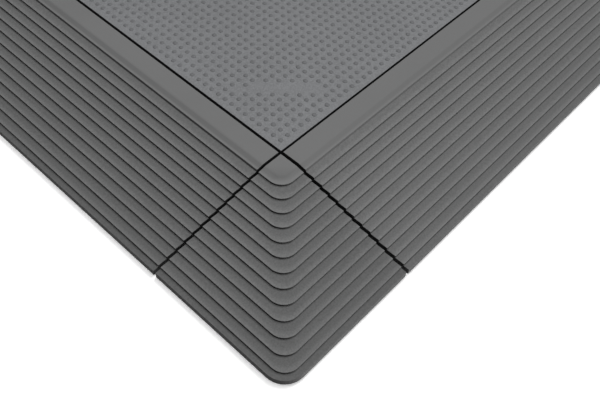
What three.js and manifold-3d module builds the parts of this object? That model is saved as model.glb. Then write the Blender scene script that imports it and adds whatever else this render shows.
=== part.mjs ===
// One corner of a modular tent floor: a floor panel, a stepped edging ramp along two of its sides and
// the corner ramp between them. Each is one hollow plastic moulding that stands on the ground, ribbed
// underneath, and hooks low on their walls hold the four together.
// Millimetres, +Z up, with the ground at z = 0 and the origin under the middle of the whole floor.

import * as THREE from "three";
import { mergeVertices } from "three/addons/utils/BufferGeometryUtils.js";
import Module from "manifold-3d";

const wasm = await Module();
wasm.setup();

// Sizes that all four mouldings share
const moduleLength = 1000; // side of the panel, and length of an edging ramp
const floorHeight = 50; // ground to the top of the edging
const wall = 4; // outer walls
const rib = 3; // ribs between the pockets underneath

// Floor panel
const plate = 5; // over the pockets
const studHeight = 1; // the plate lies this far below the edging, so that its round studs end level with it

// Section of an edging ramp, measured outwards from the edge that meets the panel
const bandWidth = 39.2; // smooth band along the top
const bandLip = 1.7; // its outer edge, which is level
const bandFall = 12.5; // just inside that edge, where the band falls in a double curve
const bandDrop = 1.8; // how far it falls
const bandFacets = 6; // flat faces in the double curve
const stepCount = 13;
const stepPitch = 13.22; // from one riser to the next
const toeTread = 8.1; // the lowest tread
const toeHeight = 9; // outer edge, above the ground
const roof = 4; // thinnest place above the pockets
const pocketToe = 8; // height of a pocket at its outer end
const pocketRows = 2; // rows of pockets across a ramp

// Corner ramp
const stepRadius = 20; // corner of the band and of each step
const toeRadius = 28; // corner of the outer edge
const arcHalves = 5; // flat faces in half of such a corner

// Seams between the mouldings, each centred on the point where all four meet
const panelLeftSeam = 4.3;
const panelRightSeam = 3.5;
const leftCornerSeam = 3.6;
const rightCornerSeam = 4.4;

// Hooks: a tongue along the ground that passes through a notch in the neighbour's wall, with an upturned lip
const hooksPerSide = 3; // along one side of the panel
const plainBays = 1; // pockets without a hook on each side of a pocket that has one
const hookWidth = 60;
const tongue = 6; // thickness
const lip = 4; // thickness
const lipHeight = 16;
const hookSeat = 0.3; // from the lip to the wall that it holds
const notchClearance = 1; // round the tongue

// Finishes
const panelGrey = new THREE.MeshStandardMaterial({ color: 0x7a7b7d, roughness: 0.6, metalness: 0 });
const edgingGrey = new THREE.MeshStandardMaterial({ color: 0x717272, roughness: 0.55, metalness: 0 });

// Worked out from the sizes above
const panelHeight = floorHeight - studHeight;
const rampWidth = bandWidth + stepPitch * (stepCount - 1) + toeTread;
const riser = (floorHeight - bandDrop - toeHeight) / stepCount;
const baysPerHook = 2 * plainBays + 1;
const bays = hooksPerSide * baysPerHook;
const bandStart = bandWidth - bandLip - bandFall; // where the band starts to fall
const roofTop = floorHeight - bandDrop - roof; // highest place inside a ramp
const roofFlat = bandWidth - stepPitch; // where the inside starts to slope down with the steps
const pocketEnd = roofFlat + ((roofTop - pocketToe) / riser) * stepPitch;
const past = 1; // a cutter passes this far through the face that it opens

// A closed geometry as a solid that can be joined and cut.
function toSolid(geometry) {
  const bare = geometry.clone();
  bare.deleteAttribute("normal");
  bare.deleteAttribute("uv");
  const merged = mergeVertices(bare);
  const vertProperties = merged.getAttribute("position").array;
  const triVerts = new Uint32Array(merged.index.array);
  return new wasm.Manifold(new wasm.Mesh({ numProp: 3, vertProperties, triVerts }));
}

// Several geometries joined into one solid.
function joined(geometries) {
  return geometries.map(toSolid).reduce((all, one) => all.add(one));
}

// A finished solid as a named mesh.
function toMesh(name, solid, material) {
  const { vertProperties, triVerts } = solid.getMesh();
  const geometry = new THREE.BufferGeometry();
  geometry.setAttribute("position", new THREE.BufferAttribute(vertProperties, 3));
  geometry.setIndex(new THREE.BufferAttribute(triVerts, 1));
  geometry.computeVertexNormals();
  const mesh = new THREE.Mesh(geometry, material);
  mesh.name = name;
  return mesh;
}

// A box between two values along each axis.
function block([x0, x1], [y0, y1], [z0, z1]) {
  const box = new THREE.BoxGeometry(x1 - x0, y1 - y0, z1 - z0);
  return box.translate((x0 + x1) / 2, (y0 + y1) / 2, (z0 + z1) / 2);
}

// Geometries turned about Z by quarter turns, and then moved to a place on the ground.
function placed(geometries, x, y, quarterTurns) {
  const turn = (quarterTurns * Math.PI) / 2;
  return geometries.map((geometry) => geometry.rotateZ(turn).translate(x, y, 0));
}

// The clear spans between ribs, as [from, to], where equal pockets share a length.
function pocketSpans(from, to, count) {
  const width = (to - from - rib * (count - 1)) / count;
  const starts = Array.from({ length: count }, (_, i) => from + i * (width + rib));
  return starts.map((start) => [start, start + width]);
}

const baySpans = pocketSpans(wall, moduleLength - wall, bays);
const rowSpans = pocketSpans(wall, pocketEnd, pocketRows);
const outwardRows = rowSpans.map(([near, far]) => [-far, -near]);

// The middle of a span.
const middle = ([from, to]) => (from + to) / 2;

const hookPlaces = baySpans.filter((_, i) => i % baysPerHook === plainBays).map(middle);
const endHookPlace = middle(rowSpans[0]);

// One block for each pocket, open at the ground.
function pockets(xSpans, ySpans, top) {
  return joined(xSpans.flatMap((x) => ySpans.map((y) => block(x, y, [-past, top]))));
}

// A hook that stands out of a wall's face at y = 0 towards -Y, and reaches across a seam.
function hook(seam) {
  const reach = seam + wall + hookSeat;
  const width = [-hookWidth / 2, hookWidth / 2];
  return [
    block(width, [-reach - lip, wall], [0, tongue]),
    block(width, [-reach - lip, -reach], [0, lipHeight]),
  ];
}

// The notch that such a hook passes through, in a wall whose face at y = 0 looks towards -Y.
function notch() {
  const half = hookWidth / 2 + notchClearance;
  return [block([-half, half], [-past, wall + past], [-past, tongue + notchClearance])];
}

// Where a tread ends, outwards, and how high it lies. The steps are counted from the band down.
const treadEnd = (step) => (step < stepCount ? bandWidth + stepPitch * step : rampWidth);
const treadHeight = (step) => floorHeight - bandDrop - riser * step;

// The band's double curve, as points [outwards, height] from its level part to its level edge.
const bandCurve = Array.from({ length: bandFacets + 1 }, (_, i) => {
  const fallen = (1 - Math.cos((i / bandFacets) * Math.PI)) / 2;
  return [bandStart + (bandFall * i) / bandFacets, floorHeight - bandDrop * fallen];
});

// The ramp's section, with x outwards and y up.
function rampSection() {
  const section = new THREE.Shape();
  section.moveTo(0, 0);
  section.lineTo(0, floorHeight);
  for (const [outwards, height] of bandCurve) {
    section.lineTo(outwards, height);
  }
  for (let step = 1; step <= stepCount; step += 1) {
    section.lineTo(treadEnd(step - 1), treadHeight(step));
    section.lineTo(treadEnd(step), treadHeight(step));
  }
  section.lineTo(rampWidth, 0);
  section.closePath();
  return section;
}

// The section of the hollow under a ramp: level under the band, then parallel to the steps.
function hollowSection() {
  const section = new THREE.Shape();
  section.moveTo(0, -past);
  section.lineTo(0, roofTop);
  section.lineTo(roofFlat, roofTop);
  section.lineTo(pocketEnd, pocketToe);
  section.lineTo(pocketEnd, -past);
  section.closePath();
  return section;
}

// A section carried along X from 0, with its own x axis laid outwards, towards -Y.
function carriedAlongX(section, length) {
  const carried = new THREE.ExtrudeGeometry(section, { depth: length, bevelEnabled: false });
  const outwards = new THREE.Vector3(0, -1, 0);
  const up = new THREE.Vector3(0, 0, 1);
  const back = new THREE.Vector3(-1, 0, 0);
  carried.applyMatrix4(new THREE.Matrix4().makeBasis(outwards, up, back));
  return carried.translate(length, 0, 0);
}

// The floor panel, with its near corner at the origin. It hooks into its neighbours at its two near sides.
function floorPanel() {
  const side = [0, moduleLength];
  const body = joined([block(side, side, [0, panelHeight])]);
  const hollows = pockets(baySpans, baySpans, panelHeight - plate);
  const hooks = hookPlaces.flatMap((place) => [
    ...placed(hook(panelRightSeam), place, 0, 0),
    ...placed(hook(panelLeftSeam), 0, place, -1),
  ]);
  const notches = hookPlaces.flatMap((place) => [
    ...placed(notch(), moduleLength, place, 1),
    ...placed(notch(), place, moduleLength, 2),
  ]);
  return body.subtract(hollows).add(joined(hooks)).subtract(joined(notches));
}

// An edging ramp along X from the origin, its inner edge on y = 0 and its outer edge towards -Y.
// It has a hook at its start and the notch for the next ramp's hook at its end.
function edgeRamp() {
  const body = toSolid(carriedAlongX(rampSection(), moduleLength));
  const hollow = toSolid(carriedAlongX(hollowSection(), moduleLength));
  const hollows = hollow.intersect(pockets(baySpans, outwardRows, roofTop + past));
  const endHook = placed(hook(rightCornerSeam), 0, -endHookPlace, -1);
  const notches = [
    ...hookPlaces.flatMap((place) => placed(notch(), place, 0, 2)),
    ...placed(notch(), moduleLength, -endHookPlace, 1),
  ];
  return body.subtract(hollows).add(joined(endHook)).subtract(joined(notches));
}

// One layer of the corner ramp: a square from beyond its two joint faces to its rounded outer corner.
function cornerLayer(side, radius, height) {
  const centre = radius - side;
  const outline = new THREE.Shape();
  outline.moveTo(past, past);
  outline.lineTo(-side, past);
  outline.absarc(centre, centre, radius, Math.PI, 1.5 * Math.PI, false);
  outline.lineTo(past, -side);
  outline.closePath();
  const options = { depth: height, curveSegments: arcHalves, bevelEnabled: false };
  return new THREE.ExtrudeGeometry(outline, options);
}

// The band of the corner ramp: its section carried along both sides as far as the middle of the
// corner's rounding, and turned about that middle.
function cornerBand() {
  const centre = bandWidth - stepRadius;
  const outline = (inner) => {
    const rim = [[bandWidth, 0], [bandWidth, floorHeight - bandDrop], ...bandCurve.toReversed()];
    return [[inner, 0], ...rim, [inner, floorHeight]];
  };
  const section = new THREE.Shape(outline(-past).map(([x, y]) => new THREE.Vector2(x, y)));
  const side = carriedAlongX(section, centre + past);
  const profile = outline(centre).map(([x, y]) => new THREE.Vector2(x - centre, y));
  const rounding = new THREE.LatheGeometry(profile, 8 * arcHalves).rotateX(Math.PI / 2);
  return [
    side.clone().translate(-centre, 0, 0),
    ...placed([side], 0, past, -1),
    rounding.translate(-centre, -centre, 0),
  ];
}

// The corner ramp, with its joint faces on x = 0 and y = 0 and its steps turning round towards -X and -Y.
// It has a hook on the face that meets the left ramp and a notch on the face that meets the right one.
function cornerRamp() {
  const layers = cornerBand();
  for (let step = 1; step <= stepCount; step += 1) {
    const radius = step < stepCount ? stepRadius : toeRadius;
    layers.push(cornerLayer(treadEnd(step), radius, treadHeight(step)));
  }
  const quarter = toSolid(block([-rampWidth, 0], [-rampWidth, 0], [0, floorHeight]));
  const body = joined(layers).intersect(quarter);
  const along = carriedAlongX(hollowSection(), rampWidth).translate(-rampWidth, 0, 0);
  const across = placed([along.clone()], 0, -rampWidth, -1)[0];
  const hollow = toSolid(along).intersect(toSolid(across));
  const hollows = hollow.intersect(pockets(outwardRows, outwardRows, roofTop + past));
  const cornerHook = joined(placed(hook(leftCornerSeam), -endHookPlace, 0, 2));
  const cornerNotch = joined(placed(notch(), 0, -endHookPlace, 1));
  return body.subtract(hollows).add(cornerHook).subtract(cornerNotch);
}

// The four mouldings, laid round the point where their seams cross.
const floor = new THREE.Group();

const panel = toMesh("floor_panel", floorPanel(), panelGrey);
panel.position.set(panelLeftSeam / 2, panelRightSeam / 2, 0);

const rightRamp = toMesh("edge_ramp_right", edgeRamp(), edgingGrey);
rightRamp.position.set(rightCornerSeam / 2, -panelRightSeam / 2, 0);

const leftRamp = toMesh("edge_ramp_left", edgeRamp(), edgingGrey);
leftRamp.rotation.z = -Math.PI / 2;
leftRamp.position.set(-panelLeftSeam / 2, leftCornerSeam / 2 + moduleLength, 0);

const corner = toMesh("corner_ramp", cornerRamp(), edgingGrey);
corner.position.set(-rightCornerSeam / 2, -leftCornerSeam / 2, 0);

floor.add(panel, rightRamp, leftRamp, corner);

// The whole floor, moved so that the origin lies under its middle.
const middleOfFloor = new THREE.Box3().setFromObject(floor).getCenter(new THREE.Vector3());
floor.position.set(-middleOfFloor.x, -middleOfFloor.y, 0);

const root = new THREE.Group();
root.add(floor);

export default root;
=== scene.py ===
"""Looks of one corner of a modular tent floor.

It has a studded panel, two stepped edging ramps and the corner ramp between them. Every length is in
metres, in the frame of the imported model.
"""

import logging
import math
from dataclasses import dataclass
from enum import Enum
from typing import Any, TypeVar

import bmesh
import bpy
import numpy as np
from mathutils import Matrix, Vector


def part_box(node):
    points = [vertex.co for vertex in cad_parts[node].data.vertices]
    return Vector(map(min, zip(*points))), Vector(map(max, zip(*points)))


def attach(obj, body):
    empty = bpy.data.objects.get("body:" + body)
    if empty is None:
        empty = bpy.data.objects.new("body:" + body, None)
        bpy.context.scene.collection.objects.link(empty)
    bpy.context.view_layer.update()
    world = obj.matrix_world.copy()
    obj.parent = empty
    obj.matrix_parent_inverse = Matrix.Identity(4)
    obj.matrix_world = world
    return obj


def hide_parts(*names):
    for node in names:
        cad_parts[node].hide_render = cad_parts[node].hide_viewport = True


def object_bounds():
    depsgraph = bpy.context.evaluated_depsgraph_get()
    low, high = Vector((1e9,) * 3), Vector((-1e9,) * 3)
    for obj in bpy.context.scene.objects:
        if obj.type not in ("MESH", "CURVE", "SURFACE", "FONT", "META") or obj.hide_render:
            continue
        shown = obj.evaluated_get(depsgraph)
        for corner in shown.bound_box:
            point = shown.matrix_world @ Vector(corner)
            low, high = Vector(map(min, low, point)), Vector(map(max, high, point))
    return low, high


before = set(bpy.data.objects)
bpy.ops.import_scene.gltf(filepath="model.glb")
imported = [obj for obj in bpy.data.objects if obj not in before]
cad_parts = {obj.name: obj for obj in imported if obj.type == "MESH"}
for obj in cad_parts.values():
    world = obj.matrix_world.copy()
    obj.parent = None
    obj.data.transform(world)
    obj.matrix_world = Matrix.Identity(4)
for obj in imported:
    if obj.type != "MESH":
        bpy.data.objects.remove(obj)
CAD_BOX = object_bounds()
BODY = "root"

log = logging.getLogger("tent_floor")

MODULE = 1.0  # side of the panel
PANEL_LEFT_SEAM = 0.0043
PANEL_RIGHT_SEAM = 0.0035
BAND_WIDTH = 0.0392  # smooth band along the top of the edging
BAND_FALL = 0.0125  # outer part of it, whose shade shows its fall
STEP_PITCH = 0.01322  # from one riser to the next
STEP_RADIUS = 0.02  # corner of each step of the corner ramp
STUD_ROOT = 0.0003  # how far a stud's foot lies inside the plate
UPRIGHT = 0.5  # a face counts as upright where its normal's Z is under this
MERGE_DISTANCE = 1e-6  # vertices nearer than this become one
FLAT_ANGLE = 0.01  # faces that turn by less than this become one, in radians
LARGE_FACE_WEIGHT = 100  # strongest pull of the large faces on a piece's shading
GRAINED = "grained"  # mesh attribute: 1 where the mould was grained, 0 where it was smooth
SHADE = "shade"  # mesh attribute: 0 where a face has its plastic's full colour, 1 where it is darkest
TREAD = "tread"  # mesh attribute: 1 on the treads, 0 elsewhere
MIDDLE = 0.5  # middle value of a noise and of an attribute
WHITE = (1.0, 1.0, 1.0, 1.0)
MIX_LOW, MIX_HIGH, MIX_RESULT = 6, 7, 2  # colour sockets of a Mix node, whose names aren't unique

Colour = tuple[float, float, float, float]


class Slot(Enum):
    """The record's material slots."""

    PANEL = "panel_plastic"
    EDGING = "edging_plastic"


class Value:
    """One number in a shader, so that its maths reads as Python arithmetic."""

    def __init__(self, graph: "Graph", socket: bpy.types.NodeSocket) -> None:
        """Wraps a socket of a graph."""
        self.graph = graph
        self.socket = socket

    def _with(self, operation: str, first: "Value | float", second: "Value | float") -> "Value":
        """Adds one Math node.

        Args:
            operation: The node's operation.
            first: Its first value.
            second: Its second value.

        Returns:
            The node's result.
        """
        node = self.graph.node("ShaderNodeMath", {"operation": operation}, {0: first, 1: second})
        return Value(self.graph, node.outputs[0])

    def __add__(self, other: "Value | float") -> "Value":
        """Sum."""
        return self._with("ADD", self, other)

    def __radd__(self, other: float) -> "Value":
        """Sum with the number first."""
        return self._with("ADD", other, self)

    def __sub__(self, other: "Value | float") -> "Value":
        """Difference."""
        return self._with("SUBTRACT", self, other)

    def __rsub__(self, other: float) -> "Value":
        """Difference with the number first."""
        return self._with("SUBTRACT", other, self)

    def __mul__(self, other: "Value | float") -> "Value":
        """Product."""
        return self._with("MULTIPLY", self, other)

    def __rmul__(self, other: float) -> "Value":
        """Product with the number first."""
        return self._with("MULTIPLY", other, self)

    def __truediv__(self, other: float) -> "Value":
        """Quotient."""
        return self._with("DIVIDE", self, other)

    def __pow__(self, other: float) -> "Value":
        """Power."""
        return self._with("POWER", self, other)

    def __mod__(self, other: float) -> "Value":
        """Remainder, which is never under zero."""
        return self._with("FLOORED_MODULO", self, other)

    def __abs__(self) -> "Value":
        """Size without the sign."""
        return self._with("ABSOLUTE", self, self)

    def at_most(self, other: float) -> "Value":
        """The smaller one of the two."""
        return self._with("MINIMUM", self, other)


class Graph:
    """The nodes of one material."""

    def __init__(self, name: str) -> None:
        """Starts a material with no nodes.

        Args:
            name: The material's name.
        """
        self.material = bpy.data.materials.new(name)
        self.material.use_nodes = True
        self.tree = self.material.node_tree
        self.tree.nodes.clear()

    def node(
        self, kind: str, settings: dict[str, Any] | None = None, inputs: dict[Any, Any] | None = None
    ) -> bpy.types.Node:
        """Adds a node.

        Args:
            kind: The node's type.
            settings: Properties of the node, which are set first.
            inputs: What each input socket gets: a Value, a socket to link, or a plain value.

        Returns:
            The new node.
        """
        made = self.tree.nodes.new(kind)
        for key, value in (settings or {}).items():
            setattr(made, key, value)
        for key, value in (inputs or {}).items():
            if isinstance(value, Value):
                self.tree.links.new(value.socket, made.inputs[key])
            elif isinstance(value, bpy.types.NodeSocket):
                self.tree.links.new(value, made.inputs[key])
            else:
                made.inputs[key].default_value = value
        return made

    def noise(self, size: float, detail: float) -> Value:
        """Adds smooth noise on Object coordinates.

        Args:
            size: Rough size of its features.
            detail: How many finer layers it has.

        Returns:
            The noise, which varies round its middle value.
        """
        place = self.node("ShaderNodeTexCoord").outputs["Object"]
        noise = self.node(
            "ShaderNodeTexNoise", inputs={"Vector": place, "Scale": 1 / size, "Detail": detail}
        )
        return Value(self, noise.outputs["Fac"])

    def attribute(self, name: str) -> Value:
        """A number stored on the mesh."""
        read = self.node("ShaderNodeAttribute", {"attribute_name": name})
        return Value(self, read.outputs["Fac"])

    def place(self) -> tuple[Value, Value]:
        """Reads the Object coordinates.

        Returns:
            X and Y.
        """
        place = self.node("ShaderNodeTexCoord").outputs["Object"]
        parts = self.node("ShaderNodeSeparateXYZ", inputs={"Vector": place})
        return Value(self, parts.outputs["X"]), Value(self, parts.outputs["Y"])

    def rise(self, value: Value, low: float, high: float) -> Value:
        """Runs from 0 to 1 while the value runs from low to high, and stays there beyond them."""
        node = self.node("ShaderNodeMapRange", inputs={"Value": value, "From Min": low, "From Max": high})
        return Value(self, node.outputs["Result"])

    def mixed(self, factor: Value, low: Any, high: Any) -> bpy.types.NodeSocket:
        """A colour between two colours, each of them a socket or a colour with its alpha."""
        ends = {"Factor": factor, MIX_LOW: low, MIX_HIGH: high}
        return self.node("ShaderNodeMix", {"data_type": "RGBA"}, ends).outputs[MIX_RESULT]

    def surface(self, inputs: dict[str, Any]) -> bpy.types.Material:
        """Ends the nodes with a Principled shader.

        Args:
            inputs: What each of its input sockets gets.

        Returns:
            The finished material.
        """
        shader = self.node("ShaderNodeBsdfPrincipled", inputs=inputs)
        self.node("ShaderNodeOutputMaterial", inputs={"Surface": shader.outputs["BSDF"]})
        return self.material


Places = TypeVar("Places", np.ndarray, Value)


def outward_distance(u: Places, v: Places) -> Places:
    """Measures how far out on the edging a place lies, in arrays or in shader values.

    Formula: it is the side d of the square with rounded corners that runs through the place, so
    d = (u + v) / 2 + R - sqrt(2 R^2 - a^2) / 2 + (|u - v| - a) / 2, with R the steps' corner radius
    and a the smaller of |u - v| and R. Away from the diagonal that is the larger of u and v.

    Args:
        u: Distance out from the corner ramp's inner edge along -X.
        v: The same along -Y.

    Returns:
        The distance.
    """
    apart = abs(u - v)
    near = np.minimum(apart, STEP_RADIUS) if isinstance(apart, np.ndarray) else apart.at_most(STEP_RADIUS)
    root = (2 * STEP_RADIUS**2 - near * near) ** 0.5
    return (u + v + apart - near - root) / 2 + STEP_RADIUS


@dataclass(frozen=True)
class MouldedPlastic:
    """A grey plastic from a grained mould.

    Attributes:
        name: The material's name.
        slot: The record's slot for it.
        dark: Colour in the darker clouds.
        light: Colour in the lighter clouds.
        deep: Colour of the faces with the most shade, which are the upright ones.
        roughness: Middle value of the roughness.
        grain_size: Size of the grain's features.
        grain_detail: How many finer layers it has.
        grain_depth: Height of the grain.
        mottle: How strongly the colour follows the grain.
        clouding: How strongly it follows the clouds.
        cloud_size: Size of the clouds.
        cloud_detail: How many finer layers they have.
        gloss: Strength of its reflections; 0.5 is that of a polished plastic.
        nose_light: How much less shade a tread has at its nose.
        nose_start: Part of the tread after which that begins.
        cloud_roughness: How strongly the roughness follows the clouds.
        grain_roughness: How much rougher the grained faces are than the smooth ones.
        ior: Refractive index.
    """

    name: str
    slot: Slot
    dark: Colour
    light: Colour
    deep: Colour
    roughness: float
    grain_size: float = 0.002
    grain_detail: float = 3.0
    grain_depth: float = 0.00012
    mottle: float = 3.0
    clouding: float = 0.5
    cloud_size: float = 0.09
    cloud_detail: float = 2.0
    gloss: float = 0.25
    nose_light: float = 0.32
    nose_start: float = 0.5
    cloud_roughness: float = 0.1
    grain_roughness: float = 0.06
    ior: float = 1.5

    def material(self, inner: tuple[float, float]) -> bpy.types.Material:
        """Builds the material: clouds, mottling and shade in the colour, grain in the bump.

        Args:
            inner: X and Y of the edging's inner edges, from which its steps are measured.

        Returns:
            The material.
        """
        graph = Graph(self.name)
        grained = graph.attribute(GRAINED)
        clouds = graph.noise(self.cloud_size, self.cloud_detail)
        grain = graph.noise(self.grain_size, self.grain_detail)
        speckle = MIDDLE + (grain - MIDDLE) * grained * self.mottle + (clouds - MIDDLE) * self.clouding
        x, y = graph.place()
        steps = (outward_distance(inner[0] - x, inner[1] - y) - BAND_WIDTH) / STEP_PITCH
        nose = graph.rise(steps % 1.0, self.nose_start, 1.0) * graph.attribute(TREAD)
        shade = graph.attribute(SHADE) - self.nose_light * nose
        bump = graph.node(
            "ShaderNodeBump",
            inputs={"Height": grain * grained, "Distance": self.grain_depth, "Strength": 1.0},
        )
        cloudy = (clouds - MIDDLE) * self.cloud_roughness
        roughness = self.roughness + cloudy + (grained - MIDDLE) * self.grain_roughness
        open_colour = graph.mixed(speckle, self.dark, self.light)
        return graph.surface({
            "Base Color": graph.mixed(shade, open_colour, self.deep),
            "Roughness": roughness,
            "Normal": bump.outputs["Normal"],
            "IOR": self.ior,
            "Specular IOR Level": self.gloss,
        })


PANEL_PLASTIC = MouldedPlastic(
    name="panel plastic",
    slot=Slot.PANEL,
    dark=(0.144, 0.147, 0.152, 1.0),
    light=(0.189, 0.193, 0.2, 1.0),
    deep=(0.025, 0.025, 0.026, 1.0),
    roughness=0.6,
)
EDGING_PLASTIC = MouldedPlastic(
    name="edging plastic",
    slot=Slot.EDGING,
    dark=(0.134, 0.135, 0.135, 1.0),
    light=(0.176, 0.177, 0.177, 1.0),
    deep=(0.02, 0.02, 0.02, 1.0),
    roughness=0.7,
)


def mesh_of(name: str, points: np.ndarray, faces: list[np.ndarray]) -> bpy.types.Mesh:
    """Puts whole arrays into a new mesh.

    Args:
        name: The mesh's name.
        points: Vertices, one row each.
        faces: One array for each number of corners, with one row of vertex numbers for each face.

    Returns:
        The mesh, shaded smooth.
    """
    mesh = bpy.data.meshes.new(name)
    corners = np.concatenate([group.ravel() for group in faces])
    counts = np.concatenate([np.full(len(group), group.shape[1]) for group in faces])
    starts = np.concatenate([[0], np.cumsum(counts)[:-1]])
    mesh.vertices.add(len(points))
    mesh.vertices.foreach_set("co", points.astype(np.float32).ravel())
    mesh.loops.add(len(corners))
    mesh.loops.foreach_set("vertex_index", corners.astype(np.int32))
    mesh.polygons.add(len(counts))
    mesh.polygons.foreach_set("loop_start", starts.astype(np.int32))
    mesh.update(calc_edges=True)
    mesh.validate()
    mesh.polygons.foreach_set("use_smooth", np.ones(len(counts), bool))
    return mesh


def mark(mesh: bpy.types.Mesh, name: str, values: np.ndarray) -> None:
    """Stores one number for each face corner."""
    stored = mesh.attributes.new(name, "FLOAT", "CORNER")
    stored.data.foreach_set("value", values.astype(np.float32))


def vertices(mesh: bpy.types.Mesh) -> np.ndarray:
    """Reads a mesh's vertices.

    Args:
        mesh: The mesh to read.

    Returns:
        Their places, one row each.
    """
    places = np.zeros(len(mesh.vertices) * 3)
    mesh.vertices.foreach_get("co", places)
    return places.reshape(-1, 3)


def face_corners(mesh: bpy.types.Mesh) -> tuple[np.ndarray, np.ndarray]:
    """Reads where each face corner lies and which way its face looks.

    Args:
        mesh: The mesh to read.

    Returns:
        The places and the normals, one row for each face corner.
    """
    normals = np.zeros(len(mesh.polygons) * 3)
    vertex, sizes = np.zeros(len(mesh.loops), np.int32), np.zeros(len(mesh.polygons), np.int32)
    mesh.polygons.foreach_get("normal", normals)
    mesh.loops.foreach_get("vertex_index", vertex)
    mesh.polygons.foreach_get("loop_total", sizes)
    return vertices(mesh)[vertex], np.repeat(normals.reshape(-1, 3), sizes, axis=0)


def add_object(name: str, mesh: bpy.types.Mesh) -> bpy.types.Object:
    """Links a new object at the origin.

    Args:
        name: The object's name.
        mesh: The mesh that it shows.

    Returns:
        The object.
    """
    made = bpy.data.objects.new(name, mesh)
    bpy.context.scene.collection.objects.link(made)
    return made


def is_upright(normals: np.ndarray) -> np.ndarray:
    """Tells which faces stand upright."""
    return np.abs(normals[:, 2]) < UPRIGHT


def dress(piece: bpy.types.Object, material: bpy.types.Material) -> None:
    """Gives a piece its material and its body.

    Args:
        piece: The piece to dress.
        material: The material that was built from that plastic.
    """
    piece.data.materials.clear()
    piece.data.materials.append(material)
    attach(piece, BODY)


@dataclass
class Moulding:
    """One of the four mouldings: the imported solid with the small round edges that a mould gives.

    Attributes:
        node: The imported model's node.
        piece: The name of the piece that stands for it.
        finish: Its plastic.
        edge: Radius of the rounded edges.
        edge_faces: Faces across such an edge.
        sharp: Edges that turn by more than this are rounded, in radians.
        wall_shade: Shade of the upright faces that look along X and of those that look along Y.
    """

    node: str
    piece: str
    finish: MouldedPlastic
    edge: float = 0.0005
    edge_faces: int = 2
    sharp: float = 0.6
    wall_shade: tuple[float, float] = (1.0, 0.75)

    def merged(self) -> bpy.types.Mesh:
        """Copies the node's mesh and merges its loose triangles into whole flat faces.

        Returns:
            The copy, shaded smooth.
        """
        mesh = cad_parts[self.node].data.copy()
        work = bmesh.new()
        work.from_mesh(mesh)
        bmesh.ops.remove_doubles(work, verts=work.verts, dist=MERGE_DISTANCE)
        bmesh.ops.dissolve_limit(work, angle_limit=FLAT_ANGLE, verts=work.verts, edges=work.edges)
        work.to_mesh(mesh)
        work.free()
        mesh.polygons.foreach_set("use_smooth", np.ones(len(mesh.polygons), bool))
        return mesh

    def rounded(self) -> bpy.types.Object:
        """Rounds the edges of the node's solid and keeps it within the solid's box.

        Returns:
            The new piece, with no modifier left on it.
        """
        piece = add_object(self.piece, self.merged())
        bevel = piece.modifiers.new("rounded edges", "BEVEL")
        bevel.width = self.edge
        bevel.segments = self.edge_faces
        bevel.limit_method = "ANGLE"
        bevel.angle_limit = self.sharp
        flats = piece.modifiers.new("flat faces stay flat", "WEIGHTED_NORMAL")
        flats.weight = LARGE_FACE_WEIGHT
        ready = piece.evaluated_get(bpy.context.evaluated_depsgraph_get())
        finished = bpy.data.meshes.new_from_object(ready)
        piece.modifiers.clear()
        piece.data = finished
        inside = np.clip(vertices(finished), *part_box(self.node))
        finished.vertices.foreach_set("co", inside.ravel())
        return piece

    def grain(self, places: np.ndarray, normals: np.ndarray) -> np.ndarray:
        """How grained each face corner is: fully, unless a kind of moulding says otherwise."""
        return np.ones(len(places))

    def shade(self, places: np.ndarray, normals: np.ndarray) -> np.ndarray:
        """How much shade each face corner has: upright faces have that of walls, the others none."""
        walls = np.abs(normals[:, :2]) @ np.array(self.wall_shade)
        return np.where(is_upright(normals), walls, 0.0)

    def tread(self, places: np.ndarray, normals: np.ndarray) -> np.ndarray:
        """Tells where the treads are: a moulding without steps has none."""
        return np.zeros(len(places))

    def build(self, material: bpy.types.Material) -> bpy.types.Object:
        """Makes the piece, marks its grain, shade and treads and dresses it.

        Args:
            material: What the moulding is made of.

        Returns:
            The piece, which stands for the node.
        """
        piece = self.rounded()
        places, normals = face_corners(piece.data)
        mark(piece.data, GRAINED, self.grain(places, normals))
        mark(piece.data, SHADE, self.shade(places, normals))
        mark(piece.data, TREAD, self.tread(places, normals))
        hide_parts(self.node)
        dress(piece, material)
        log.info("%s: %d faces", piece.name, len(piece.data.polygons))
        return piece


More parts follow.
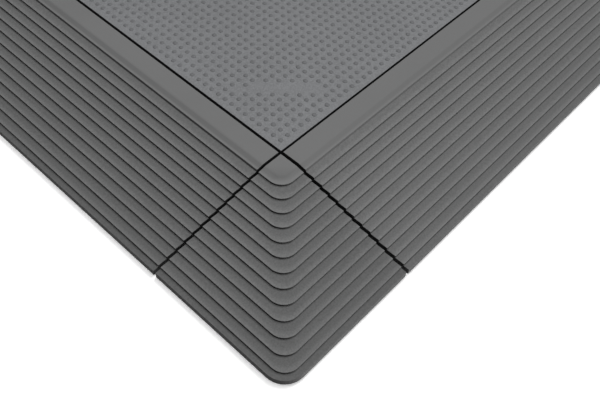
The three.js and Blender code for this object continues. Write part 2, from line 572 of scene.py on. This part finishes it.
@dataclass
class EdgingMoulding(Moulding):
    """A ramp or the corner ramp, whose band is smooth and whose treads are grained.

    Attributes:
        inner: X and Y of the edging's inner edges, from which its steps are measured.
        outward: Which of the two ground axes lead outwards: 1 or 0 for X and for Y.
        tread_shade: Shade of the first tread.
        toe_shade: How much more the last one has.
        inner_shade: How much more a tread has at its inner edge than at its nose.
        band_fall: Parts of the band's fall at which its shade is given.
        band_shade: Its shade there; the level part has the first.
        riser_shade: Shade of the risers that face along X and of those that face along Y.
    """

    inner: tuple[float, float] = (0.0, 0.0)
    outward: tuple[float, float] = (1.0, 1.0)
    tread_shade: float = 0.31
    toe_shade: float = 0.13
    inner_shade: float = 0.06
    band_fall: tuple[float, ...] = (0.0, 0.38, 0.7, 0.85)
    band_shade: tuple[float, ...] = (0.11, 0.36, 0.1, 0.0)
    riser_shade: tuple[float, float] = (0.98, 0.24)

    def distance(self, places: np.ndarray) -> np.ndarray:
        """Measures how far out each place lies."""
        u, v = (np.array(self.inner) - places[:, :2]).T
        return outward_distance(u, v)

    def grain(self, places: np.ndarray, normals: np.ndarray) -> np.ndarray:
        """Everything past the band is grained."""
        return np.where(self.distance(places) > BAND_WIDTH, 1.0, 0.0)

    def shade(self, places: np.ndarray, normals: np.ndarray) -> np.ndarray:
        """Shades the treads, the falling part of the band, the risers and the other upright faces.

        Formula: a tread's shade grows evenly towards the toe and falls evenly across the tread. The
        band's runs straight from one given value to the next. A riser's is the sum of its two
        shades, each times the normal's part along that axis.

        Args:
            places: Where each face corner lies.
            normals: Which way its face looks.

        Returns:
            The shade at each face corner.
        """
        distance = self.distance(places)
        fallen = (distance - BAND_WIDTH + BAND_FALL) / BAND_FALL
        band = np.interp(fallen, self.band_fall, self.band_shade)
        past_band = np.maximum(distance - BAND_WIDTH, 0)
        treads = self.tread_shade + self.toe_shade * past_band / past_band.max()
        treads += self.inner_shade * (1 - past_band / STEP_PITCH % 1)
        level = np.where(past_band > 0, treads, band)
        facing = -normals[:, :2] * np.array(self.outward)
        risers = np.abs(facing) @ np.array(self.riser_shade)
        upright = np.where(facing.sum(axis=1) > UPRIGHT, risers, super().shade(places, normals))
        return np.where(is_upright(normals), upright, level)

    def tread(self, places: np.ndarray, normals: np.ndarray) -> np.ndarray:
        """Tells where the treads are: on the faces past the band that look up."""
        return np.where((normals[:, 2] > UPRIGHT) & (self.distance(places) > BAND_WIDTH), 1.0, 0.0)


@dataclass
class StudField:
    """The panel's round studs, on a square grid, except where a strip of the plate is left bare.

    Attributes:
        corner: The panel's near corner on the ground.
        foot: Height of the stud's foot, a little inside the plate.
        top: Height of the stud's top.
        pitch: Distance from one stud to the next, and from the panel's edge to the first.
        radius: Radius of a stud.
        sides: Faces round a stud.
        rings: Rings of faces from its foot to its flat top.
        squareness: Exponent of the dome's outline; 2 is round, more is flatter on top.
        bare_from: One end of the bare strip, from the near corner.
        bare_to: The other end.
        bare_half: Half the strip's width.
        foot_shade: Shade of a stud's lowest ring of faces; the others lie between that and the top's.
        top_shade: Shade of its top.
    """

    corner: Vector
    foot: float
    top: float
    pitch: float = 0.0125
    radius: float = 0.0035
    sides: int = 12
    rings: int = 3
    squareness: float = 2.4
    bare_from: tuple[float, float] = (0.033, 0.115)
    bare_to: tuple[float, float] = (0.121, 0.040)
    bare_half: float = 0.008
    foot_shade: float = 0.1
    top_shade: float = 0.31

    def places(self) -> np.ndarray:
        """The studs' middles, from the panel's near corner.

        Returns:
            One row each, without those in the bare strip: there the distance across the strip's
            middle line is under half its width, and the distance along it lies between its ends.
        """
        steps = np.arange(1, round(MODULE / self.pitch)) * self.pitch
        grid = np.stack(np.meshgrid(steps, steps), axis=-1).reshape(-1, 2)
        start, end = np.array(self.bare_from), np.array(self.bare_to)
        length = np.linalg.norm(end - start)
        direction = (end - start) / length
        along = (grid - start) @ direction
        across = np.abs((grid - start) @ np.array([-direction[1], direction[0]]))
        bare = (across < self.bare_half) & (along > 0) & (along < length)
        return grid[~bare]

    def dome(self) -> np.ndarray:
        """One stud about its own middle, as a grid of rings by sides.

        Formula: at angle t from the foot up, radius is R cos(t)^(2/n) and height is H sin(t)^(2/n),
        with n the squareness, and the ring is turned round the upright axis. The last ring, round
        the flat top, is put at the stud's full height.

        Returns:
            The places, by ring, side and axis.
        """
        t = np.linspace(0, np.pi / 2, self.rings + 2)[:-1]
        around = np.arange(self.sides) * 2 * np.pi / self.sides
        radius = self.radius * np.cos(t) ** (2 / self.squareness)
        height = self.foot + (self.top - self.foot) * np.sin(t) ** (2 / self.squareness)
        height[-1] = self.top
        ring = np.stack([np.cos(around), np.sin(around), np.ones(self.sides)], axis=-1)
        return ring[None] * np.stack([radius, radius, height], axis=-1)[:, None]

    def faces(self) -> list[np.ndarray]:
        """Numbers the corners of one stud's faces.

        Returns:
            The four-cornered faces between rings, then the top and the foot.
        """
        ring, side = np.meshgrid(np.arange(self.rings), np.arange(self.sides), indexing="ij")
        nxt = (side + 1) % self.sides
        low, high = ring * self.sides, (ring + 1) * self.sides
        walls = np.stack([low + side, low + nxt, high + nxt, high + side], axis=-1).reshape(-1, 4)
        around = np.arange(self.sides)
        caps = np.stack([around + self.rings * self.sides, around[::-1]])
        return [walls, caps]

    def mesh(self, name: str, middles: np.ndarray) -> bpy.types.Mesh:
        """Repeats the stud at every given place, and marks its grain and its shade.

        Args:
            name: The mesh's name.
            middles: The studs' middles, one row each.

        Returns:
            The mesh.
        """
        dome = self.dome().reshape(-1, 3)
        shifts = np.pad(middles, ((0, 0), (0, 1)))
        points = (shifts[:, None] + dome[None]).reshape(-1, 3)
        first = np.arange(len(middles))[:, None, None] * len(dome)
        faces = [(first + group[None]).reshape(-1, group.shape[1]) for group in self.faces()]
        mesh = mesh_of(name, points, faces)
        rings = np.linspace(self.foot_shade, self.top_shade, self.rings)
        walls = np.tile(np.repeat(rings, faces[0].shape[1] * self.sides), len(middles))
        mark(mesh, GRAINED, np.ones(len(mesh.loops)))
        mark(mesh, SHADE, np.concatenate([walls, np.full(faces[1].size, self.top_shade)]))
        return mesh

    def build(self, material: bpy.types.Material) -> list[bpy.types.Object]:
        """Makes the field in four quarters, each one mesh.

        Args:
            material: What the studs are made of.

        Returns:
            The four pieces.
        """
        places = self.places()
        names = ["studs_near", "studs_right", "studs_left", "studs_far"]
        far = (places > MODULE / 2).astype(int)
        quarter = far[:, 0] + 2 * far[:, 1]  # its place in the list of names
        pieces = []
        for number, name in enumerate(names):
            middles = places[quarter == number] + np.array(self.corner[:2])
            piece = add_object(name, self.mesh(name, middles))
            dress(piece, material)
            pieces.append(piece)
            log.info("%s: %d studs, %d faces", name, len(middles), len(piece.data.polygons))
        return pieces


@dataclass(frozen=True)
class SoftLight:
    """One large lamp of the studio.

    Attributes:
        name: Its name.
        bearing: Direction towards it, in degrees from +X towards +Y.
        elevation: Its height above the horizon, in degrees.
        power: Watts.
        size: Side of its square.
        distance: How far away it hangs.
    """

    name: str
    bearing: float
    elevation: float
    power: float
    size: float = 5.0
    distance: float = 12.0

    def build(self, target: Vector) -> bpy.types.Object:
        """Hangs the lamp.

        Args:
            target: The point that it is aimed at.

        Returns:
            The lamp.
        """
        bearing, elevation = math.radians(self.bearing), math.radians(self.elevation)
        towards = Vector((
            math.cos(elevation) * math.cos(bearing),
            math.cos(elevation) * math.sin(bearing),
            math.sin(elevation),
        ))
        data = bpy.data.lights.new(self.name, "AREA")
        data.energy = self.power
        data.size = self.size
        lamp = bpy.data.objects.new(self.name, data)
        lamp.matrix_world = Matrix.Translation(target + towards * self.distance) @ (
            towards.to_track_quat("Z", "Y").to_matrix().to_4x4()
        )
        bpy.context.scene.collection.objects.link(lamp)
        return lamp


@dataclass(frozen=True)
class PaleGround:
    """The finish of the plain floor under the object.

    Attributes:
        name: The material's name.
        colour: Its colour.
        roughness: Its roughness.
        glow: Strength of its own light, which keeps it pale right up to the object.
    """

    name: str = "pale ground"
    colour: Colour = (0.93, 0.93, 0.93, 1.0)
    roughness: float = 0.9
    glow: float = 0.2

    def material(self) -> bpy.types.Material:
        """Builds the material.

        Returns:
            The material, whose colour is even.
        """
        return Graph(self.name).surface({
            "Base Color": self.colour,
            "Roughness": self.roughness,
            "Emission Color": WHITE,
            "Emission Strength": self.glow,
        })


@dataclass
class Studio:
    """The pale floor, the lights and the camera.

    Attributes:
        crossing: The point where the four seams meet, at the height of the edging's top.
        lens: Focal length, in millimetres on a 36 mm sensor.
        distance: From the camera to its aim, in metres.
        aim: Where the camera's middle ray meets that height, from the crossing.
        down: How steeply it looks down, in degrees.
        towards: Its heading, in degrees from +X towards +Y.
        roll: Its turn about the line of sight, in degrees.
        sight: How far it sees.
        floor: The floor's finish.
        floor_side: Side of the square floor.
        floor_drop: How far the floor lies under the mouldings.
        sky: Strength of the faint light from all round.
        lights: The lamps.
    """

    crossing: Vector
    lens: float = 46.14
    distance: float = 0.90271
    aim: tuple[float, float] = (-0.03872, -0.06806)
    down: float = 52.672
    towards: float = 38.814
    roll: float = 5.11
    sight: float = 100.0
    floor: PaleGround = PaleGround()
    floor_side: float = 40.0
    floor_drop: float = 0.0004
    sky: float = 0.15
    lights: tuple[SoftLight, ...] = (
        SoftLight("key", bearing=12.0, elevation=58.0, power=750.0),
        SoftLight("side", bearing=-78.0, elevation=20.0, power=330.0),
        SoftLight("top", bearing=160.0, elevation=82.0, power=24.0, size=1.0, distance=2.2),
    )

    def camera(self) -> None:
        """Places the camera: heading, then pitch, then roll about the line of sight."""
        down, towards = math.radians(self.down), math.radians(self.towards)
        ahead = Vector((
            math.cos(down) * math.cos(towards),
            math.cos(down) * math.sin(towards),
            -math.sin(down),
        ))
        level_right = Vector((math.sin(towards), -math.cos(towards), 0.0))
        level_up = level_right.cross(ahead)
        roll = math.radians(self.roll)
        right = math.cos(roll) * level_right + math.sin(roll) * level_up
        up = math.cos(roll) * level_up - math.sin(roll) * level_right
        turn = Matrix((right, up, -ahead)).transposed().to_4x4()
        data = bpy.data.cameras.new("camera")
        data.lens = self.lens
        data.clip_end = self.sight
        camera = bpy.data.objects.new("camera", data)
        place = self.crossing + Vector((*self.aim, 0.0)) - ahead * self.distance
        camera.matrix_world = Matrix.Translation(place) @ turn
        bpy.context.scene.collection.objects.link(camera)
        bpy.context.scene.camera = camera

    def ground(self) -> None:
        """Lays the pale floor, just under the mouldings."""
        half = self.floor_side / 2
        corners = np.array([[-half, -half], [half, -half], [half, half], [-half, half]])
        points = np.pad(corners, ((0, 0), (0, 1)), constant_values=-self.floor_drop)
        floor = add_object("ground", mesh_of("ground", points, [np.arange(4)[None]]))
        floor.data.materials.append(self.floor.material())

    def light(self) -> None:
        """Hangs the lamps and sets the faint light from all round."""
        for lamp in self.lights:
            lamp.build(self.crossing)
        world = bpy.data.worlds.new("studio")
        world.use_nodes = True
        background = world.node_tree.nodes["Background"]
        background.inputs["Color"].default_value = WHITE
        background.inputs["Strength"].default_value = self.sky
        bpy.context.scene.world = world
        bpy.context.scene.view_settings.view_transform = "Standard"

    def build(self) -> None:
        """Sets up the whole studio."""
        self.camera()
        self.ground()
        self.light()


def main() -> None:
    """Builds the studio, the four mouldings and the studs."""
    logging.basicConfig(level=logging.INFO, format="%(name)s: %(message)s")
    panel_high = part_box("floor_panel")[1]
    panel_corner = panel_high - Vector((MODULE, MODULE, panel_high.z))
    edging_top = CAD_BOX[1].z
    crossing = panel_corner - Vector((PANEL_LEFT_SEAM / 2, PANEL_RIGHT_SEAM / 2, -edging_top))
    Studio(crossing).build()

    inner = (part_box("edge_ramp_left")[1].x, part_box("edge_ramp_right")[1].y)
    materials = {finish.slot: finish.material(inner) for finish in (PANEL_PLASTIC, EDGING_PLASTIC)}
    mouldings = [
        Moulding("floor_panel", "panel_moulding", PANEL_PLASTIC),
        EdgingMoulding(
            "edge_ramp_right",
            "right_ramp_moulding",
            EDGING_PLASTIC,
            inner=inner,
            outward=(0.0, 1.0),
            tread_shade=0.19,
        ),
        EdgingMoulding(
            "edge_ramp_left",
            "left_ramp_moulding",
            EDGING_PLASTIC,
            inner=inner,
            outward=(1.0, 0.0),
            tread_shade=0.32,
            band_shade=(0.11, 0.48, 0.08, 0.0),
        ),
        EdgingMoulding("corner_ramp", "corner_ramp_moulding", EDGING_PLASTIC, inner=inner),
    ]
    for moulding in mouldings:
        moulding.build(materials[moulding.finish.slot])
    studs = StudField(panel_corner, foot=panel_high.z - STUD_ROOT, top=edging_top)
    studs.build(materials[PANEL_PLASTIC.slot])


if __name__ == "__main__":
    main()
